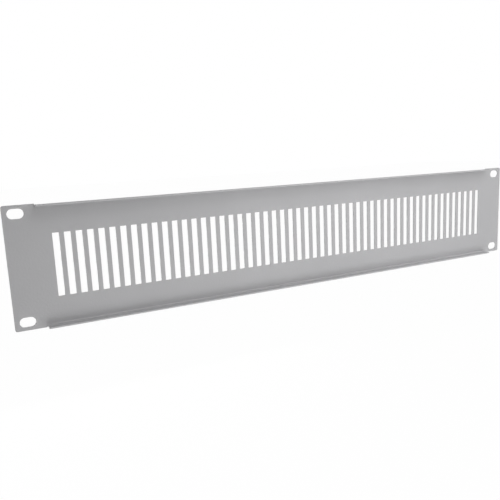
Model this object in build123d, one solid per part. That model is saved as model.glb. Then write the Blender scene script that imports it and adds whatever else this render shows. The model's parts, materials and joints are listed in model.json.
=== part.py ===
from build123d import *
import math
import os

# Sizes that the rack sets for every panel
rack_unit_height = 44.45
panel_units = 2
stacking_gap = 0.8          # left free between one panel and the next
panel_width = 482.6
hole_to_unit_edge = 6.35    # row of screw holes to the edge of the rack units
hole_to_panel_end = 8.75    # column of screw holes to the end of the panel

# Sheet, folds and ears
sheet = 1.0
bend_radius = 1.0           # inside of each fold
flange_depth = 8.7          # front face of the panel to the free edge of a flange
flange_inset = 0.5          # long edge of an ear to the outer face of a flange
ear_length = 21.6           # flat end of the panel, past the end of the flanges
ear_corner_radius = 1.5
relief_width = 0.3          # nick beside the end of each flange, as deep as the flange's outer face

# Oval screw holes
hole_length = 10.8
hole_width = 7.0

# Vent slots
slot_width = 4.6
slot_pitch = 8.0
slot_corner_radius = 0.4
slot_to_long_edge = 21.25   # plain band above and below the slots
slot_to_flange_end = 9.0    # least plain band past the last slot

# Places that follow from the sizes above
panel_height = panel_units * rack_unit_height - stacking_gap
hole_spacing_x = panel_width - 2 * hole_to_panel_end
hole_spacing_z = panel_units * rack_unit_height - 2 * hole_to_unit_edge
flange_span = panel_width - 2 * ear_length
flange_face = panel_height / 2 - flange_inset
bend_line = flange_face - sheet - bend_radius
slot_height = panel_height - 2 * slot_to_long_edge
slot_room = flange_span - 2 * slot_to_flange_end - slot_width
slot_count = 1 + math.floor(slot_room / slot_pitch)


def strip(x_low, x_high, z_low, z_high):
    # flat rectangle in the plane of the sheet, given by its limits
    width = x_high - x_low
    height = z_high - z_low
    return Pos(x_low + width / 2, z_low + height / 2) * Rectangle(width, height)


def flange():
    # the sheet leaves the web at the bend line, turns to the rear and ends in a straight leg
    fold = JernArc((-sheet, bend_line), (0, 1), bend_radius + sheet, -90)
    leg = Line(fold @ 1, (flange_depth - sheet, flange_face))
    section = make_face(offset(Wire([fold, leg]), amount=sheet, side=Side.RIGHT))
    return extrude(Plane.YZ * section, amount=flange_span / 2, both=True)


def flat_sheet():
    # the web and both full-height ears, with the sheet left off where the flanges fold away
    outline = RectangleRounded(panel_width, panel_height, ear_corner_radius)
    flange_end = flange_span / 2
    relief_end = flange_end + relief_width
    edge = panel_height / 2
    upper = strip(-flange_end, flange_end, bend_line, edge)
    upper += strip(flange_end, relief_end, flange_face, edge)
    upper += strip(-relief_end, -flange_end, flange_face, edge)
    outline -= upper
    outline -= mirror(upper, Plane.XZ)
    return extrude(Plane.XZ * outline, amount=sheet)


def screw_holes():
    # ovals that run across, on the spacing of the rack's rails
    ovals = GridLocations(hole_spacing_x, hole_spacing_z, 2, 2) * SlotOverall(hole_length, hole_width)
    return extrude(Plane.XZ * Sketch(ovals), amount=sheet)


def vent_slots():
    # one row of upright slots, centred on the panel
    slot = RectangleRounded(slot_width, slot_height, slot_corner_radius)
    row = GridLocations(slot_pitch, 0, slot_count, 1) * slot
    return extrude(Plane.XZ * Sketch(row), amount=sheet)


def blanking_panel():
    upper_flange = flange()
    lower_flange = mirror(upper_flange, Plane.XY)
    folded_sheet = flat_sheet() + upper_flange + lower_flange
    return folded_sheet - screw_holes() - vent_slots()


os.makedirs("parts", exist_ok=True)
export_step(blanking_panel(), "parts/blanking_panel.step")
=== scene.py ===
import json
import math

import bpy
import numpy as np
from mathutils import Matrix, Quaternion, Vector


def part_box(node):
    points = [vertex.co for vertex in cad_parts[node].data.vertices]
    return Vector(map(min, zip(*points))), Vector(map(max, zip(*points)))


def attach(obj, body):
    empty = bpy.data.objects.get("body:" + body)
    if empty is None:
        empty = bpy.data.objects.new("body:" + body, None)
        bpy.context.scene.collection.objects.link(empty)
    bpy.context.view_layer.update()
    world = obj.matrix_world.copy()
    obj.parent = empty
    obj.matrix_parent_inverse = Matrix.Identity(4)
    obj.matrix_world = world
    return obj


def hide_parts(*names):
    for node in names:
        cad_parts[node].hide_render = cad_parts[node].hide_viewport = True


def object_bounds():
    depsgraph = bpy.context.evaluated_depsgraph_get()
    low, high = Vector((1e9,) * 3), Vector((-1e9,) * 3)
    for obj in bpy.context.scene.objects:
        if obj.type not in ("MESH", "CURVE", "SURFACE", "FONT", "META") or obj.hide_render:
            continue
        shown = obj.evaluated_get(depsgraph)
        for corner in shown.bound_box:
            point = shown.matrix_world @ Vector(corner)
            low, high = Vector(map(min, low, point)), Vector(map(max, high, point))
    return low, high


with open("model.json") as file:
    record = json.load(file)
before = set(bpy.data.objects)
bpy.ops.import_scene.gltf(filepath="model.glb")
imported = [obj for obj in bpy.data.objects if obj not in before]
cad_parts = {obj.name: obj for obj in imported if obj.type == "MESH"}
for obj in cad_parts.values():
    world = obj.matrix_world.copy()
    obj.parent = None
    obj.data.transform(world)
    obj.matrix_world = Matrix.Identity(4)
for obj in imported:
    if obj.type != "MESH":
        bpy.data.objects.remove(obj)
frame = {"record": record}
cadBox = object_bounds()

mm = 0.001

# The folded sheet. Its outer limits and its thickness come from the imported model.
panel = {
    "node": "blanking_panel",
    "earLength": 21.6 * mm,       # flat end, past the end of a flange
    "earCorner": 1.5 * mm,
    "earCornerSteps": 3,
    "flangeInset": 0.5 * mm,      # ear's long edge to the flange's outer face
    "bendRadius": 1.0 * mm,       # inside of the fold
    "bendSteps": 9,
    "reliefWidth": 0.3 * mm,      # nick beside the flange's end, as deep as its outer face
    "edgeBand": 0.4 * mm,         # strip along a cut edge that shows its thinner coat and its painted highlight
    "edgeRound": 0.12 * mm,       # coat drawn round the cut edges
    "edgeSteps": 3,
    "roundAbove": 40,             # degrees between faces where the coat is drawn round
    "faceWeight": 100,            # large faces keep their own shading
    "lineDigits": 8,              # decimals of a metre to which lines of the grid are told apart
    "meetWithin": 0.001 * mm,     # points in one cell of this size are one
    "meetShift": 0.1237,          # in such cells, so that no round size lies on a cell's limit
}

slots = {
    "count": 53,
    "pitch": 8.0 * mm,
    "width": 4.6 * mm,
    "height": 45.6 * mm,
    "corner": 0.4 * mm,
    "cornerSteps": 4,
    "landAbove": 2.0 * mm,        # part of each slot's own patch above its end
    "patchCorner": 0.8 * mm,      # stretch of the patch's rim that serves one corner of the slot
}

holes = {
    "mount": "rack_holes",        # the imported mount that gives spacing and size
    "cornerSteps": 12,
    "patchCorner": 3.0 * mm,      # stretch of the patch's long sides that serves one end of the oval
}


# Rounded rectangle, counterclockwise. Each corner is a quarter turn of t from 0 to 1: the point lies
# corner * (1 - cos) in from the side and corner * (1 - sin) down from the end.
def roundLoop(halfWidth, halfHeight, corner, steps):
    turn = np.linspace(0, math.pi / 2, steps + 1)
    inX = corner * (1 - np.cos(turn))
    inZ = corner * (1 - np.sin(turn))
    return fourCorners(halfWidth - inX, halfHeight - inZ)


# Rectangle with as many points as a round loop: the first half of t runs up the last stretch of the side,
# the second half along the first stretch of the end.
def squareLoop(halfWidth, halfHeight, alongX, alongZ, steps):
    t = np.linspace(0, 1, steps + 1)
    inX = alongX * np.maximum(0, 2 * t - 1)
    inZ = alongZ * np.maximum(0, 1 - 2 * t)
    return fourCorners(halfWidth - inX, halfHeight - inZ)


# One quarter of a loop, from its side to its end, and its three mirror images, in order round the loop.
def fourCorners(x, z):
    rightTop = np.stack([x, z], 1)
    leftTop = np.stack([-x, z], 1)[::-1]
    leftFoot = np.stack([-x, -z], 1)
    rightFoot = np.stack([x, -z], 1)[::-1]
    return np.concatenate([rightTop, leftTop, leftFoot, rightFoot])


# The points of a loop nearest to a height, above and below its middle, move onto it, so that they meet the
# line that the grid beside the loop has there.
def movedLevel(z, height):
    gap = np.abs(np.abs(z) - height)
    return np.where(np.isclose(gap, gap.min()), np.sign(z) * height, z)


# Ring between two loops: inner + (outer - inner) * share, one copy about each centre.
def ringPatch(inner, outer, shares, centres):
    share = np.array(shares)[None, :, None]
    ring = inner[:, None] + (outer - inner)[:, None] * share
    flat = centres[:, None, None] + ring[None]
    count, around, rows = len(centres), len(inner), len(shares)
    ids = np.arange(count * around * rows).reshape(count, around, rows)
    nextIds = np.roll(ids, -1, axis=1)
    quads = np.stack([ids[..., :-1], ids[..., 1:], nextIds[..., 1:], nextIds[..., :-1]], -1)
    return flat.reshape(-1, 2), quads.reshape(-1, 4)


# Straight grid on all pairs of lines, less the cells whose middle isn't kept.
def gridPatch(xLines, vLines, keep):
    x, v = np.meshgrid(xLines, vLines, indexing="ij")
    ids = np.arange(x.size).reshape(x.shape)
    quads = np.stack([ids[:-1, :-1], ids[1:, :-1], ids[1:, 1:], ids[:-1, 1:]], -1)
    midX = (x[:-1, :-1] + x[1:, 1:]) / 2
    midV = (v[:-1, :-1] + v[1:, 1:]) / 2
    return np.stack([x.ravel(), v.ravel()], 1), quads[keep(midX, midV)]


def sortedLines(*groups):
    lines = np.concatenate([np.ravel(group) for group in groups])
    return np.unique(np.round(lines, panel["lineDigits"]))


def bothSides(values):
    values = np.atleast_1d(values)
    return np.concatenate([values, -values])


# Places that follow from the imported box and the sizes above. Heights past the bend line are measured along
# the middle of the sheet, as if it were still flat.
def panelPlaces():
    low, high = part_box(panel["node"])
    sheet = -low.y
    flangeEnd = high.x - panel["earLength"]
    flangeFace = high.z - panel["flangeInset"]
    bendLine = flangeFace - sheet - panel["bendRadius"]
    middleRadius = panel["bendRadius"] + sheet / 2
    bendEnd = bendLine + middleRadius * math.pi / 2
    return {
        "halfWidth": high.x,
        "halfHeight": high.z,
        "sheet": sheet,
        "flangeEnd": flangeEnd,
        "reliefEnd": flangeEnd + panel["reliefWidth"],
        "flangeFace": flangeFace,
        "bendLine": bendLine,
        "middleRadius": middleRadius,
        "bendEnd": bendEnd,
        "flangeEdge": bendEnd + high.y - panel["bendRadius"],
    }


# The rim of a slot, the rectangle of web that goes with it, and the centres of all slots.
def slotLoops():
    rim = roundLoop(slots["width"] / 2, slots["height"] / 2, slots["corner"], slots["cornerSteps"])
    along = slots["patchCorner"]
    cellHalfHeight = slots["height"] / 2 + slots["landAbove"]
    cell = squareLoop(slots["pitch"] / 2, cellHalfHeight, along, along, slots["cornerSteps"])
    x = (np.arange(slots["count"]) - (slots["count"] - 1) / 2) * slots["pitch"]
    return rim, cell, np.stack([x, np.zeros_like(x)], 1)


# The rim of an oval hole, the rectangle of ear that goes with it, and the centres of all four holes.
def holeLoops(at):
    dims = next(m["dims"] for m in frame["record"]["mounts"] if m["name"] == holes["mount"])
    holeX = dims["spacing_x_mm"] * mm / 2
    holeZ = dims["spacing_y_mm"] * mm / 2
    radius = dims["hole_r_mm"] * mm
    rim = roundLoop(dims["slot_length_mm"] * mm / 2, radius, radius, holes["cornerSteps"])
    cellX = at["halfWidth"] - panel["earCorner"] - holeX
    cellZ = at["halfHeight"] - panel["earCorner"] - holeZ
    cell = squareLoop(cellX, cellZ, holes["patchCorner"], cellZ, holes["cornerSteps"])
    cell[:, 1] = movedLevel(cell[:, 1], at["bendLine"] - holeZ)
    return rim, cell, np.array([(x, z) for x in (-holeX, holeX) for z in (-holeZ, holeZ)])


# Lines of the grid that fills the sheet between the slots' and the holes' own patches.
def sheetLines(at, slotLoop, holeLoop):
    _, slotCell, slotCentres = slotLoop
    _, holeCell, holeCentres = holeLoop
    holeX, holeZ = holeCentres.max(axis=0)
    band = panel["edgeBand"]
    flangeEnd, reliefEnd, flangeFace = at["flangeEnd"], at["reliefEnd"], at["flangeFace"]
    cornerLines = np.linspace(0, panel["earCorner"], panel["earCornerSteps"] + 1)
    xLines = sortedLines(
        slotCentres[:, :1] + slotCell[:, 0],
        bothSides([flangeEnd - band, flangeEnd, reliefEnd, reliefEnd + band]),
        bothSides(holeX + holeCell[:, 0]),
        bothSides(at["halfWidth"] - panel["earCorner"] + cornerLines),
    )
    vLines = sortedLines(
        slotCell[:, 1],
        bothSides([at["bendLine"], flangeFace - band, flangeFace]),
        bothSides(holeZ + holeCell[:, 1]),
        bothSides(at["halfHeight"] - panel["earCorner"] + cornerLines),
    )
    return xLines, vLines


# Web and ears: the grid, less what folds away and less the slots' and holes' patches, then those patches.
def flatPatches(at, xLines, vLines, slotLoop, holeLoop):
    slotRim, slotCell, slotCentres = slotLoop
    holeRim, holeCell, holeCentres = holeLoop
    slotFieldX = slots["count"] * slots["pitch"] / 2
    slotFieldZ = slotCell[:, 1].max()
    holeX, holeZ = holeCentres.max(axis=0)
    holeFieldX, holeFieldZ = holeCell.max(axis=0)

    def inFlatSheet(x, v):
        x, v = np.abs(x), np.abs(v)
        slotField = (x < slotFieldX) & (v < slotFieldZ)
        holeField = (np.abs(x - holeX) < holeFieldX) & (np.abs(v - holeZ) < holeFieldZ)
        besideFlange = (x > at["reliefEnd"]) | ((x > at["flangeEnd"]) & (v < at["flangeFace"]))
        return ((v < at["bendLine"]) | besideFlange) & ~slotField & ~holeField

    slotShare = panel["edgeBand"] / (slotCell.max(axis=0) - slotRim.max(axis=0))[0]
    holeShare = panel["edgeBand"] / (holeCell.max(axis=0) - holeRim.max(axis=0))[1]
    return [
        gridPatch(xLines, vLines, inFlatSheet),
        ringPatch(slotRim, slotCell, [0, slotShare, 1], slotCentres),
        ringPatch(holeRim, holeCell, [0, holeShare, 1], holeCentres),
    ]


# Upper and lower flange: the grid's lines run on round the bend and out to the free edge.
def foldedPatches(at, xLines):
    bendLines = np.linspace(at["bendLine"], at["bendEnd"], panel["bendSteps"] + 1)
    legLines = np.array([at["flangeEdge"] - panel["edgeBand"], at["flangeEdge"]])
    flangeLines = np.concatenate([bendLines, legLines])
    webLines = xLines[np.abs(xLines) < at["flangeEnd"] + panel["reliefWidth"] / 2]
    return [
        gridPatch(webLines, flangeLines, lambda x, v: v > 0),
        gridPatch(webLines, -flangeLines[::-1], lambda x, v: v < 0),
    ]


# The square beside an ear's corner becomes a quarter disc: u * sqrt(1 - w*w/2) and w * sqrt(1 - u*u/2).
def roundEarCorners(at, flat):
    corner = panel["earCorner"]
    squareX, squareV = at["halfWidth"] - corner, at["halfHeight"] - corner
    u = np.clip((np.abs(flat[:, 0]) - squareX) / corner, 0, 1)
    w = np.clip((np.abs(flat[:, 1]) - squareV) / corner, 0, 1)
    inside = (u > 0) & (w > 0)
    x = squareX + corner * u * np.sqrt(1 - w * w / 2)
    v = squareV + corner * w * np.sqrt(1 - u * u / 2)
    rounded = np.stack([np.sign(flat[:, 0]) * x, np.sign(flat[:, 1]) * v], 1)
    return np.where(inside[:, None], rounded, flat)


# A point of the flat sheet, so far in from its rear skin, which is at y = 0.
def flatPoints(at, flat, depth):
    flat = roundEarCorners(at, flat)
    return np.stack([flat[:, 0], np.full(len(flat), -depth), flat[:, 1]], 1)


# A point of the sheet at height v, so far in from its rear skin. Past the bend line the sheet turns about an
# axis one bend radius behind that skin: turn = run / middle radius, up to a quarter, then a straight leg.
def foldedPoints(at, flat, depth):
    bendLine, bendRadius, middleRadius = at["bendLine"], panel["bendRadius"], at["middleRadius"]
    run = np.maximum(np.abs(flat[:, 1]) - bendLine, 0)
    turn = np.minimum(run / middleRadius, math.pi / 2)
    leg = np.maximum(run - middleRadius * math.pi / 2, 0)
    radius = bendRadius + depth
    y = bendRadius - radius * np.cos(turn) + leg
    rise = np.minimum(np.abs(flat[:, 1]), bendLine) + radius * np.sin(turn)
    return np.stack([flat[:, 0], y, np.sign(flat[:, 1]) * rise], 1)


# The whole sheet: every patch is laid out flat, then placed once as the rear skin and once as the front one.
def buildPanel():
    at = panelPlaces()
    slotLoop, holeLoop = slotLoops(), holeLoops(at)
    xLines, vLines = sheetLines(at, slotLoop, holeLoop)
    patches = [(patch, flatPoints) for patch in flatPatches(at, xLines, vLines, slotLoop, holeLoop)]
    patches += [(patch, foldedPoints) for patch in foldedPatches(at, xLines)]
    front, rear, cells, start = [], [], [], 0
    for (flat, quads), inSpace in patches:
        rear.append(inSpace(at, flat, 0))
        front.append(inSpace(at, flat, at["sheet"]))
        cells.append(quads + start)
        start += len(flat)
    return joinSkins(np.concatenate(front), np.concatenate(rear), np.concatenate(cells))


# Both skins share one set of cells. Points of neighbouring patches that meet become one, cells with no width
# go, and each open edge of the cells is closed by a wall from one skin to the other. The value 1 marks the
# points of those cut edges.
def joinSkins(front, rear, quads):
    keys = np.floor(rear / panel["meetWithin"] + panel["meetShift"]).astype(np.int64)
    _, first, back = np.unique(keys, axis=0, return_index=True, return_inverse=True)
    quads = back.reshape(-1)[quads]
    closedUp = (quads == np.roll(quads, -1, axis=1)).any(axis=1)
    used, quads = np.unique(quads[~closedUp], return_inverse=True)
    quads = quads.reshape(-1, 4)
    front, rear = front[first][used], rear[first][used]
    edges = np.stack([quads, np.roll(quads, -1, axis=1)], -1).reshape(-1, 2)
    _, pairIndex, pairCount = np.unique(np.sort(edges, axis=1), axis=0, return_index=True, return_counts=True)
    openEdges = edges[pairIndex[pairCount == 1]]
    count = len(front)
    a, b = openEdges[:, 0], openEdges[:, 1]
    walls = np.stack([b, a, a + count, b + count], 1)
    faces = np.concatenate([quads, quads[:, ::-1] + count, walls])
    cutEdge = np.zeros(2 * count)
    cutEdge[np.concatenate([openEdges.ravel(), openEdges.ravel() + count])] = 1
    return np.concatenate([front, rear]), faces, cutEdge


def meshFromArrays(name, points, faces, attribute, values):
    mesh = bpy.data.meshes.new(name)
    mesh.from_pydata(points.tolist(), [], faces.tolist())
    mesh.polygons.foreach_set("use_smooth", np.ones(len(mesh.polygons), bool))
    layer = mesh.attributes.new(attribute, "FLOAT", "POINT")
    layer.data.foreach_set("value", values.astype(np.float32))
    mesh.update()
    mesh.validate()
    piece = bpy.data.objects.new(name, mesh)
    bpy.context.scene.collection.objects.link(piece)
    return piece


def finishPanel(piece):
    rounding = piece.modifiers.new("roundCutEdges", "BEVEL")
    rounding.width = panel["edgeRound"]
    rounding.segments = panel["edgeSteps"]
    rounding.limit_method = "ANGLE"
    rounding.angle_limit = math.radians(panel["roundAbove"])
    shading = piece.modifiers.new("evenShading", "WEIGHTED_NORMAL")
    shading.weight = panel["faceWeight"]


# Grey powder coat. A grain is its cycles per metre, how many finer octaves it has and how strong they are.
# A span is the part of a noise that counts.
powder = {
    "colour": (0.519, 0.517, 0.528, 1),
    "shade": (0.459, 0.458, 0.467, 1),
    # Lighter colour at the cut edges: their thinner coat, and a painted highlight along them.
    "thinCoatAndHighlightColour": (0.535, 0.534, 0.542, 1),
    "roughness": (0.40, 0.56),
    "clouds": (11.0, 3, 0.55),    # slow drift of tone over the sheet
    "speckle": (2600.0, 1, 0.5),  # pigment grain
    "peel": (620.0, 2, 0.45),     # orange peel
    "dust": (190.0, 4, 0.6),      # patches in the gloss and along the cut edges
    "toneSpan": (0.35, 0.65),
    "driftShare": 0.45,           # most of the shade that the drift brings in
    "grainShare": 0.7,            # most that the grain brings in
    "dustSpan": (0.3, 0.6),
    "edgeShare": (0.35, 0.9),     # least and most of the lighter edge colour (thinner coat and painted highlight) at a cut edge
    "edgeFade": 2.0,              # power of its fall over the edge band
    "glossSpan": (0.5, 1.0),
    "cloudGloss": 0.5,            # weight of the drift beside the dust in the gloss
    "peelHeight": 0.12 * mm,
    "peelStrength": 0.8,
    "speckleHeight": 0.15,        # grain's height as a share of the peel's
}


def noise(nodes, links, coords, grain):
    scale, detail, roughness = grain
    texture = nodes.new("ShaderNodeTexNoise")
    texture.inputs["Scale"].default_value = scale
    texture.inputs["Detail"].default_value = detail
    texture.inputs["Roughness"].default_value = roughness
    links.new(coords, texture.inputs["Vector"])
    return texture.outputs["Fac"]


def remap(nodes, links, value, fromRange, toRange):
    ramp = nodes.new("ShaderNodeMapRange")
    ramp.inputs["From Min"].default_value, ramp.inputs["From Max"].default_value = fromRange
    ramp.inputs["To Min"].default_value, ramp.inputs["To Max"].default_value = toRange
    links.new(value, ramp.inputs["Value"])
    return ramp.outputs["Result"]


def arithmetic(nodes, links, operation, first, second):
    step = nodes.new("ShaderNodeMath")
    step.operation = operation
    for socket, value in zip(step.inputs, (first, second)):
        if isinstance(value, (int, float)):
            socket.default_value = value
        else:
            links.new(value, socket)
    return step.outputs[0]


def blend(nodes, links, share, first, second):
    mix = nodes.new("ShaderNodeMix")
    mix.data_type = "RGBA"
    links.new(share, mix.inputs["Factor"])
    for socket, value in zip((mix.inputs["A"], mix.inputs["B"]), (first, second)):
        if isinstance(value, tuple):
            socket.default_value = value
        else:
            links.new(value, socket)
    return mix.outputs["Result"]


def powderCoat():
    material = bpy.data.materials.new("powderCoat")
    material.use_nodes = True
    nodes, links = material.node_tree.nodes, material.node_tree.links
    shader = nodes["Principled BSDF"]
    coords = nodes.new("ShaderNodeTexCoord").outputs["Object"]
    edge = nodes.new("ShaderNodeAttribute")
    edge.attribute_name = "cutEdge"

    clouds = noise(nodes, links, coords, powder["clouds"])
    speckle = noise(nodes, links, coords, powder["speckle"])
    peel = noise(nodes, links, coords, powder["peel"])
    dust = noise(nodes, links, coords, powder["dust"])

    drift = remap(nodes, links, clouds, powder["toneSpan"], (0.0, powder["driftShare"]))
    grain = remap(nodes, links, speckle, powder["toneSpan"], (0.0, powder["grainShare"]))
    tone = arithmetic(nodes, links, "ADD", drift, grain)
    face = blend(nodes, links, tone, powder["colour"], powder["shade"])
    # Cut edges are painted lighter, patchy by the dust noise: thinner coat there and a painted highlight.
    edgeNearness = arithmetic(nodes, links, "POWER", edge.outputs["Fac"], powder["edgeFade"])
    patchy = remap(nodes, links, dust, powder["dustSpan"], powder["edgeShare"])
    wornAndHighlit = arithmetic(nodes, links, "MULTIPLY", edgeNearness, patchy)
    links.new(blend(nodes, links, wornAndHighlit, face, powder["thinCoatAndHighlightColour"]), shader.inputs["Base Color"])

    cloudPart = arithmetic(nodes, links, "MULTIPLY", clouds, powder["cloudGloss"])
    gloss = arithmetic(nodes, links, "ADD", cloudPart, dust)
    rough = remap(nodes, links, gloss, powder["glossSpan"], powder["roughness"])
    links.new(rough, shader.inputs["Roughness"])

    bump = nodes.new("ShaderNodeBump")
    bump.inputs["Strength"].default_value = powder["peelStrength"]
    bump.inputs["Distance"].default_value = powder["peelHeight"]
    speckleRelief = arithmetic(nodes, links, "MULTIPLY", speckle, powder["speckleHeight"])
    links.new(arithmetic(nodes, links, "ADD", peel, speckleRelief), bump.inputs["Height"])
    links.new(bump.outputs["Normal"], shader.inputs["Normal"])
    return material


studio = {
    "worldStrength": 0.03,
    "floorColour": (0.80, 0.80, 0.80, 1),
    "floorRoughness": 0.9,
    "floorGlow": 0.99,            # share of plain white that the camera sees on the floor
    "floorHalf": 12.0,
    "floorDrop": 0.40,            # panel hangs free, as on a rack
}

# Soft boxes: place and aim in metres, side lengths in metres, power in watts.
lamps = {
    "rearKey": {"at": (-0.20, 0.60, 0.0), "aim": (-0.20, 0, 0), "size": (0.7, 0.5), "watts": 0.86},
    "rearSide": {"at": (-0.30, 0.50, 0.15), "aim": (-0.30, 0, 0.15), "size": (0.8, 0.38), "watts": 0.62},
    "rearCorner": {"at": (-0.45, 0.45, 0.35), "aim": (-0.15, 0, 0), "size": (0.5, 0.3), "watts": 0.47},
    "rearHigh": {"at": (-0.20, 0.30, 0.45), "aim": (-0.10, 0, 0), "size": (0.9, 0.25), "watts": 0.72},
    "overhead": {"at": (-0.20, 0.30, 0.70), "aim": (-0.10, 0, 0), "size": (0.9, 0.4), "watts": 1.33},
    "rearLow": {"at": (-0.10, 0.45, -0.32), "aim": (-0.10, 0, 0), "size": (0.9, 0.3), "watts": 1.32},
    "underLip": {"at": (-0.10, 0.20, -0.35), "aim": (-0.10, 0, 0), "size": (0.9, 0.2), "watts": 0.14},
    "endRear": {"at": (1.20, 0.20, 0.10), "aim": (0, 0, 0), "size": (0.6, 0.6), "watts": 1.6},
    "endFront": {"at": (1.20, -0.35, -0.10), "aim": (0, 0, 0), "size": (0.6, 0.6), "watts": 4.8},
    "frontFill": {"at": (0.0, -0.9, -0.20), "aim": (0, 0, 0), "size": (1.0, 0.4), "watts": 5.6},
}


# White for the camera and in reflections, faint on the part itself.
def buildWorld():
    world = bpy.data.worlds.new("studio")
    bpy.context.scene.world = world
    world.use_nodes = True
    nodes, links = world.node_tree.nodes, world.node_tree.links
    background = nodes["Background"]
    background.inputs["Color"].default_value = (1, 1, 1, 1)
    path = nodes.new("ShaderNodeLightPath")
    seen = arithmetic(nodes, links, "MAXIMUM", path.outputs["Is Camera Ray"], path.outputs["Is Glossy Ray"])
    strength = remap(nodes, links, seen, (0.0, 1.0), (studio["worldStrength"], 1.0))
    links.new(strength, background.inputs["Strength"])


def paleFloorMaterial():
    material = bpy.data.materials.new("paleFloor")
    material.use_nodes = True
    nodes, links = material.node_tree.nodes, material.node_tree.links
    shader = nodes["Principled BSDF"]
    shader.inputs["Base Color"].default_value = studio["floorColour"]
    shader.inputs["Roughness"].default_value = studio["floorRoughness"]
    shader.inputs["Specular IOR Level"].default_value = 0.0
    glow = nodes.new("ShaderNodeEmission")
    path = nodes.new("ShaderNodeLightPath")
    share = arithmetic(nodes, links, "MULTIPLY", path.outputs["Is Camera Ray"], studio["floorGlow"])
    mix = nodes.new("ShaderNodeMixShader")
    links.new(share, mix.inputs["Fac"])
    links.new(shader.outputs[0], mix.inputs[1])
    links.new(glow.outputs[0], mix.inputs[2])
    links.new(mix.outputs[0], nodes["Material Output"].inputs["Surface"])
    return material


def buildFloor():
    half = studio["floorHalf"]
    height = cadBox[0].z - studio["floorDrop"]
    corners = [(-half, -half, height), (half, -half, height), (half, half, height), (-half, half, height)]
    mesh = bpy.data.meshes.new("floor")
    mesh.from_pydata(corners, [], [(0, 1, 2, 3)])
    mesh.materials.append(paleFloorMaterial())
    floor = bpy.data.objects.new("floor", mesh)
    bpy.context.scene.collection.objects.link(floor)


def buildLamps():
    for name, lamp in lamps.items():
        light = bpy.data.lights.new(name, "AREA")
        light.shape = "RECTANGLE"
        light.size, light.size_y = lamp["size"]
        light.energy = lamp["watts"]
        holder = bpy.data.objects.new(name, light)
        holder.location = lamp["at"]
        direction = Vector(lamp["aim"]) - Vector(lamp["at"])
        holder.rotation_euler = direction.to_track_quat("-Z", "Y").to_euler()
        holder.visible_camera = False
        bpy.context.scene.collection.objects.link(holder)


view = {
    "at": (259.06 * mm, 406.08 * mm, 71.76 * mm),
    "aim": (56.34 * mm, 0.0, -7.96 * mm),
    "rollDegrees": 2.675,
    "lens": 39.940,               # millimetres, as is the sensor's width
    "sensor": 36,
    "clipStart": 0.01,            # metres
}


def buildCamera():
    data = bpy.data.cameras.new("photoCamera")
    data.sensor_width = view["sensor"]
    data.lens = view["lens"]
    data.clip_start = view["clipStart"]
    camera = bpy.data.objects.new("photoCamera", data)
    direction = (Vector(view["aim"]) - Vector(view["at"])).normalized()
    level = direction.to_track_quat("-Z", "Y")
    roll = Quaternion(direction, math.radians(view["rollDegrees"]))
    camera.location = view["at"]
    camera.rotation_mode = "QUATERNION"
    camera.rotation_quaternion = roll @ level
    bpy.context.scene.collection.objects.link(camera)
    bpy.context.scene.camera = camera


buildCamera()
print("camera placed")

points, faces, cutEdge = buildPanel()
piece = meshFromArrays("foldedPanel", points, faces, "cutEdge", cutEdge)
finishPanel(piece)
piece.data.materials.append(powderCoat())
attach(piece, "root")
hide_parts(panel["node"])
print("panel built:", len(piece.data.polygons), "faces before rounding")

buildWorld()
buildFloor()
buildLamps()
bpy.context.scene.view_settings.view_transform = "Standard"
print("studio lit")
